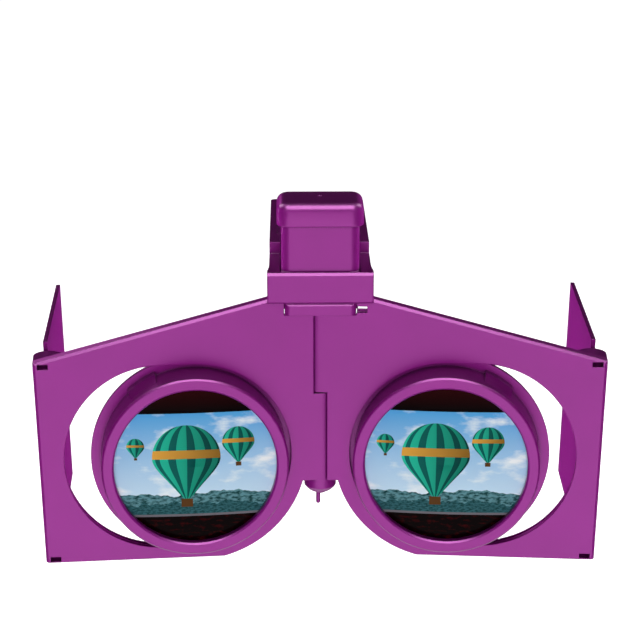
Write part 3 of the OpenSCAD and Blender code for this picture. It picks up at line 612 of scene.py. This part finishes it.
class VIEWER_OT_cap(bpy.types.Operator):
    """Model the rounded cap of the thumb slider"""

    bl_idname = "viewer.cap"
    bl_label = "Slider cap"

    def execute(self, context):
        sizes = context.scene.viewer_sizes
        low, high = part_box("slider_cap")
        size, middle = high - low, (high + low) / 2
        nothing_selected()
        bpy.ops.mesh.primitive_cube_add(size=1, location=middle)
        cap = context.object
        cap.name = "slider_cap_rounded"
        cap.scale = size
        bpy.ops.object.transform_apply(location=True, rotation=True, scale=True)
        weigh_edges(cap.data, 1.0, lambda lower, upper: upper - lower > size.z / 2)
        modify(cap, "corners", "BEVEL", width=sizes.cap_corner, segments=10, limit_method="WEIGHT")
        weigh_edges(cap.data, 1.0, lambda lower, upper: lower > high.z - LEVEL)
        modify(cap, "top_edge", "BEVEL", width=sizes.cap_edge, segments=8, limit_method="WEIGHT")
        # The foot's edge is a quarter as round as the top's
        weigh_edges(cap.data, 0.25, lambda lower, upper: upper < low.z + LEVEL)
        modify(cap, "foot_edge", "BEVEL", width=sizes.cap_edge, segments=3, limit_method="WEIGHT")
        self.gate_mark(cap, middle, high.z, sizes.gate_mark)
        select_only(cap)
        bpy.ops.object.shade_smooth_by_angle(angle=SMOOTH)
        settle(cap, bpy.data.materials["moulded_abs_purple"], "slider", "slider_cap")
        return {"FINISHED"}

    def gate_mark(self, cap, middle, top, radius):
        """Raises the small round pip that the mould's gate leaves on the cap's top face."""
        nothing_selected()
        # The pip is the top of a ball that is sunk into the face, a little behind its middle
        ball_r, sunk, behind = 1.25 * radius, 0.85 * radius, 1.4 * MM
        bpy.ops.mesh.primitive_uv_sphere_add(
            segments=24, ring_count=16, radius=ball_r, location=(middle.x, middle.y + behind, top - sunk)
        )
        pip = bpy.context.object
        modify(cap, "gate", "BOOLEAN", operation="UNION", object=pip, solver="EXACT")
        bpy.data.objects.remove(pip)


class VIEWER_OT_springs(bpy.types.Operator):
    """Model the two round-wire springs of the thumb slider"""

    bl_idname = "viewer.springs"
    bl_label = "Slider springs"

    def execute(self, context):
        sizes = context.scene.viewer_sizes
        low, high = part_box("slider_springs")
        outer, wire_r = (high.z - low.z) / 2, sizes.spring_wire / 2
        length = high.y - low.y - sizes.spring_wire
        steps = COIL_STEPS * sizes.spring_coils
        steel = bpy.data.materials["zinc_plated_steel"]
        for index, x in enumerate((low.x + outer, high.x - outer)):
            nothing_selected()
            place = Vector((x, low.y + wire_r, (low.z + high.z) / 2))
            bpy.ops.mesh.primitive_circle_add(
                vertices=WIRE_POINTS, radius=wire_r, location=place + Vector((outer - wire_r, 0, 0))
            )
            wire = context.object
            wire.name = f"slider_spring_{index + 1}"
            bpy.ops.object.transform_apply(location=True, rotation=True, scale=True)
            wire.data.transform(Matrix.Translation(-place))
            modify(
                wire, "wind", "SCREW", axis="Y", angle=2 * math.pi * sizes.spring_coils, iterations=1,
                screw_offset=length, steps=steps, render_steps=steps,
            )
            wire.data.transform(Matrix.Translation(place))
            bpy.ops.object.mode_set(mode="EDIT")
            bpy.ops.mesh.select_all(action="SELECT")
            bpy.ops.mesh.remove_doubles(threshold=MERGE)
            bpy.ops.mesh.select_non_manifold(extend=False, use_boundary=True)
            bpy.ops.mesh.edge_face_add()
            bpy.ops.mesh.select_all(action="SELECT")
            bpy.ops.mesh.normals_make_consistent(inside=False)
            bpy.ops.object.mode_set(mode="OBJECT")
            bpy.ops.object.shade_smooth_by_angle(angle=WIRE_SMOOTH)
            settle(wire, steel, "slider", "slider_springs")
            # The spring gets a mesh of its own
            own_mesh(wire)
        return {"FINISHED"}


class VIEWER_OT_steel(bpy.types.Operator):
    """Finish the guide rods and the flaps' pins"""

    bl_idname = "viewer.steel"
    bl_label = "Rods and pins"

    def execute(self, context):
        steel = zinc_plated_steel()
        for name in ("guide_rods", "left_flap_pin", "right_flap_pin"):
            finish_node(name, steel)
        return {"FINISHED"}


class VIEWER_OT_screws(bpy.types.Operator):
    """Model the countersunk screws with their cross recesses"""

    bl_idname = "viewer.screws"
    bl_label = "Screws"

    def execute(self, context):
        sizes = context.scene.viewer_sizes
        for node, body in (
            ("cover_screws", "clamp"), ("jaw_screws", "slider"),
            ("left_keeper_screws", "left_wing"), ("right_keeper_screws", "right_wing"),
        ):
            turn = Matrix.Identity(3)
            if "keeper" in node:
                # The keepers' screws point back, square to the wing
                toe = -HANDS[node.split("_")[0]] * WING_TOE
                turn = Matrix.Rotation(toe, 3, "Z") @ Matrix.Rotation(-math.pi / 2, 3, "X")
            pattern = None
            for index, points in enumerate(solids(node)):
                local = [turn.transposed() @ point for point in points]
                top = max(point.z for point in local)
                head = [point for point in local if point.z > top - LEVEL]
                centre = points_middle(head)
                if pattern is None:
                    head_r = max((point - centre).length for point in head)
                    foot = min(point.z for point in local)
                    shank = [point for point in local if point.z < foot + LEVEL]
                    shank_r = max((point - centre).xy.length for point in shank)
                    pattern = self.screw(head_r, shank_r, top - foot, sizes)
                screw = pattern.copy()
                screw.data = pattern.data.copy()
                screw.name = f"{node}_{index + 1}"
                context.scene.collection.objects.link(screw)
                screw.data.transform(turn.to_4x4() @ Matrix.Translation(centre))
                settle(screw, bpy.data.materials["zinc_plated_steel"], body, node)
            bpy.data.objects.remove(pattern)
        return {"FINISHED"}

    def screw(self, head_r, shank_r, length, sizes):
        """One countersunk screw, its head's top at the origin."""
        cone = head_r - shank_r
        nothing_selected()
        bpy.ops.mesh.primitive_circle_add(vertices=32, radius=head_r, fill_type="NGON")
        screw = bpy.context.object
        bpy.ops.object.mode_set(mode="EDIT")
        bpy.ops.mesh.select_all(action="SELECT")
        for drop, narrow in ((cone, shank_r / head_r), (length - cone - TIP, 1.0), (TIP, TIP_SHARE)):
            bpy.ops.mesh.extrude_region_move(TRANSFORM_OT_translate={"value": (0, 0, -drop)})
            bpy.ops.transform.resize(value=(narrow, narrow, 1), center_override=(0, 0, 0))
        bpy.ops.mesh.select_all(action="SELECT")
        bpy.ops.mesh.normals_make_consistent(inside=False)
        bpy.ops.object.mode_set(mode="OBJECT")
        # Sharp edges, such as the head's rim, are rounded a little
        modify(
            screw, "rim", "BEVEL", width=RIM, segments=2, limit_method="ANGLE", angle_limit=math.radians(50)
        )
        # Two crossed bars cut the recess, which spans about two thirds of the head
        for turn in (0, math.pi / 2):
            nothing_selected()
            bpy.ops.mesh.primitive_cube_add(size=1, rotation=(0, 0, turn))
            bar = bpy.context.object
            bar.scale = (1.3 * head_r, sizes.recess, 2 * sizes.recess_depth)
            modify(screw, "recess", "BOOLEAN", operation="DIFFERENCE", object=bar, solver="EXACT")
            bpy.data.objects.remove(bar)
        select_only(screw)
        bpy.ops.object.shade_smooth_by_angle(angle=SMOOTH)
        return screw


class VIEWER_OT_pads(bpy.types.Operator):
    """Finish the rubber pads of the jaws"""

    bl_idname = "viewer.pads"
    bl_label = "Rubber pads"

    def execute(self, context):
        rubber = moulded_rubber()
        for name in ("front_pad", "rear_pad"):
            finish_node(name, rubber)
        return {"FINISHED"}


class VIEWER_OT_lenses(bpy.types.Operator):
    """Finish the lenses, with the show picture on their eye faces"""

    bl_idname = "viewer.lenses"
    bl_label = "Lenses"

    def execute(self, context):
        picture = picture_group(context.scene.viewer_picture)
        for hand in HANDS:
            finish_node(f"{hand}_lens", picture_acrylic(hand, picture))
        return {"FINISHED"}


# Studio


class VIEWER_OT_stage(bpy.types.Operator):
    """Set the camera, the lamps, the floor and the reflection cards"""

    bl_idname = "viewer.stage"
    bl_label = "Studio"

    def execute(self, context):
        settings = context.scene.viewer_stage
        context.scene.view_settings.view_transform = "Standard"
        self.camera(context, settings)
        self.room(context, settings)
        aim = Vector(settings.camera_aim)
        # The key and rear lamps light the faces and don't show in the gloss, and the others show only in it
        self.lamp("key", settings.key, (0.0, -1.25, 0.0), aim, (0.7, 0.4), glossy=False)
        for name, side in (("left_rear", -1), ("right_rear", 1)):
            self.lamp(name, settings.back, (side * 1.0, 0.5, -0.06), aim, (0.4, 0.4), glossy=False)
        self.lamp("edge", settings.strip, (0.0, -0.38, 0.61), aim, (0.6, 0.7), diffuse=False)
        for name, side in (("left_corner", -1), ("right_corner", 1)):
            self.lamp(name, settings.corner, (side * 0.43, 0.2, 0.41), aim, (0.34, 0.34), diffuse=False)
        return {"FINISHED"}

    def camera(self, context, settings):
        """Sets the camera as it was solved from the photograph."""
        data = bpy.data.cameras.new("camera")
        data.sensor_width, data.lens = 36.0, settings.lens
        data.clip_start, data.clip_end = 0.01, 50.0
        camera = bpy.data.objects.new("camera", data)
        context.scene.collection.objects.link(camera)
        camera.location = settings.camera_place
        look = Vector(settings.camera_aim) - Vector(settings.camera_place)
        camera.rotation_euler = look.to_track_quat("-Z", "Y").to_euler()
        context.scene.camera = camera

    def lamp(self, name, power, place, aim, size, diffuse=True, glossy=True):
        """Adds a rectangular lamp that looks at the aim."""
        data = bpy.data.lights.new(name, "AREA")
        data.shape, data.size, data.size_y, data.energy = "RECTANGLE", size[0], size[1], power
        lamp = bpy.data.objects.new(name, data)
        bpy.context.scene.collection.objects.link(lamp)
        lamp.location = place
        lamp.rotation_euler = (aim - Vector(place)).to_track_quat("-Z", "Y").to_euler()
        lamp.visible_camera, lamp.visible_diffuse, lamp.visible_glossy = False, diffuse, glossy

    def room(self, context, settings):
        """White behind everything, a soft light from all round, a pale floor and the cards."""
        world = bpy.data.worlds.new("room")
        context.scene.world = world
        world.use_nodes = True
        tree = world.node_tree
        tree.nodes.clear()
        seen = put(tree, "ShaderNodeGroup", {"node_tree": self.seen_rays()}).outputs[0]
        plain = linear("#FFFFFF")
        white = put(tree, "ShaderNodeBackground", {}, {"Color": plain, "Strength": 1.0})
        soft = put(tree, "ShaderNodeBackground", {}, {"Color": plain, "Strength": settings.ambient})
        both = put(tree, "ShaderNodeMixShader", {}, {0: seen, 1: soft.outputs[0], 2: white.outputs[0]})
        put(tree, "ShaderNodeOutputWorld", {}, {"Surface": both.outputs[0]})

        ground = FRAME_BOX[0][2] - settings.floor_drop
        nothing_selected()
        bpy.ops.mesh.primitive_plane_add(size=30, location=(0, 0, ground))
        floor = context.object
        floor.name = "floor"
        floor.data.materials.append(self.paper())
        # Cards round the viewer, seen only in its gloss: the dark ones keep its tops, corners and inner faces
        # deep in colour, the lilac one lights the top of the left wing, and the white one on the floor lights
        # the fronts
        black = self.card("black_velvet", "#000000", 0.0)
        dim = self.card("dim_velvet", "#F07CE4", 0.1)
        white = self.card("white_card", "#FFFFFF", settings.front_card)
        lilac = self.card("lilac_card", "#F07CE4", settings.side_card)
        upright, sideways, lying = (math.pi / 2, 0, 0), (0, math.pi / 2, 0), (0, 0, 0)
        for name, material, place, turn, size in (
            ("card_behind", black, (0, 1.5, ground + 1.2), upright, (3.6, 2.4)),
            ("card_behind_left", lilac, (-0.445, 1.2, 0.36), upright, (0.23, 0.3)),
            ("card_below", dim, (0, 0.78, ground + 0.01), lying, (3.0, 1.4)),
            ("card_left", black, (-1.1, 0.3, ground + 0.8), sideways, (1.6, 2.4)),
            ("card_right", black, (1.1, 0.3, ground + 0.8), sideways, (1.6, 2.4)),
            ("card_front", white, (0, -1.15, ground + 0.01), lying, (0.6, 1.7)),
            ("card_front_left", black, (-0.85, -0.9, ground + 0.01), lying, (1.0, 2.0)),
            ("card_front_right", black, (0.85, -0.9, ground + 0.01), lying, (1.0, 2.0)),
        ):
            bpy.ops.mesh.primitive_plane_add(size=1, location=place, rotation=turn)
            card = context.object
            card.name = name
            card.scale = (*size, 1.0)
            card.data.materials.append(material)
            for rays in ("camera", "diffuse", "shadow", "transmission"):
                setattr(card, f"visible_{rays}", False)
        nothing_selected()

    def card(self, name, colour, glow):
        """Face of a card, with the light that it gives back."""
        material, tree = new_material(name)
        face = put(tree, "ShaderNodeEmission", {}, {"Color": linear(colour), "Strength": glow})
        put(tree, "ShaderNodeOutputMaterial", {}, {"Surface": face.outputs[0]})
        return material

    def seen_rays(self):
        """One for the rays that see the room, which are the camera's and those that leave gloss or glass."""
        tree = bpy.data.node_groups.get("seen_rays")
        if tree is None:
            tree = bpy.data.node_groups.new("seen_rays", "ShaderNodeTree")
            tree.interface.new_socket("Seen", in_out="OUTPUT", socket_type="NodeSocketFloat")
            ray = put(tree, "ShaderNodeLightPath").outputs
            seen = ray["Is Camera Ray"]
            for other in ("Is Glossy Ray", "Is Transmission Ray"):
                either = put(tree, "ShaderNodeMath", {"operation": "MAXIMUM"}, {0: seen, 1: ray[other]})
                seen = either.outputs[0]
            put(tree, "NodeGroupOutput", {}, {"Seen": seen})
        return tree

    def paper(self):
        """White paper floor: pale to the camera, with the soft shadow kept."""
        material, tree = new_material("white_paper")
        seen = put(tree, "ShaderNodeGroup", {"node_tree": self.seen_rays()}).outputs[0]
        matt = put(tree, "ShaderNodeBsdfDiffuse", {}, {"Color": linear("#E7E7E7")})
        glow = put(tree, "ShaderNodeEmission", {}, {"Color": linear("#F4F4F4"), "Strength": seen})
        both = put(tree, "ShaderNodeAddShader", {}, {0: matt.outputs[0], 1: glow.outputs[0]})
        put(tree, "ShaderNodeOutputMaterial", {}, {"Surface": both.outputs[0]})
        return material


class VIEWER_PT_panel(bpy.types.Panel):
    """Steps that dress the viewer"""

    bl_idname = "VIEWER_PT_panel"
    bl_label = "Phone viewer"
    bl_space_type = "VIEW_3D"
    bl_region_type = "UI"
    bl_category = "Viewer"

    def draw(self, context):
        for group in GROUPS:
            box = self.layout.box()
            settings = getattr(context.scene, group)
            for name in settings.bl_rna.properties.keys():
                if name not in ("rna_type", "name"):
                    box.prop(settings, name)
        for step in STEPS:
            self.layout.operator(step.bl_idname)


STEPS = (
    VIEWER_OT_shell,
    VIEWER_OT_cap,
    VIEWER_OT_steel,
    VIEWER_OT_screws,
    VIEWER_OT_springs,
    VIEWER_OT_pads,
    VIEWER_OT_lenses,
    VIEWER_OT_stage,
)
GROUPS = {
    "viewer_shell": ShellFinish,
    "viewer_picture": PictureFinish,
    "viewer_sizes": PieceSizes,
    "viewer_stage": StageSettings,
}


def register():
    for group in GROUPS.values():
        bpy.utils.register_class(group)
    for name, group in GROUPS.items():
        setattr(bpy.types.Scene, name, PointerProperty(type=group))
    for cls in (*STEPS, VIEWER_PT_panel):
        bpy.utils.register_class(cls)


def unregister():
    for cls in reversed((*STEPS, VIEWER_PT_panel)):
        bpy.utils.unregister_class(cls)
    for name in GROUPS:
        delattr(bpy.types.Scene, name)
    for group in reversed(list(GROUPS.values())):
        bpy.utils.unregister_class(group)


def main():
    register()
    for step in STEPS:
        prefix, name = step.bl_idname.split(".")
        getattr(getattr(bpy.ops, prefix), name)()


if __name__ == "__main__":
    main()
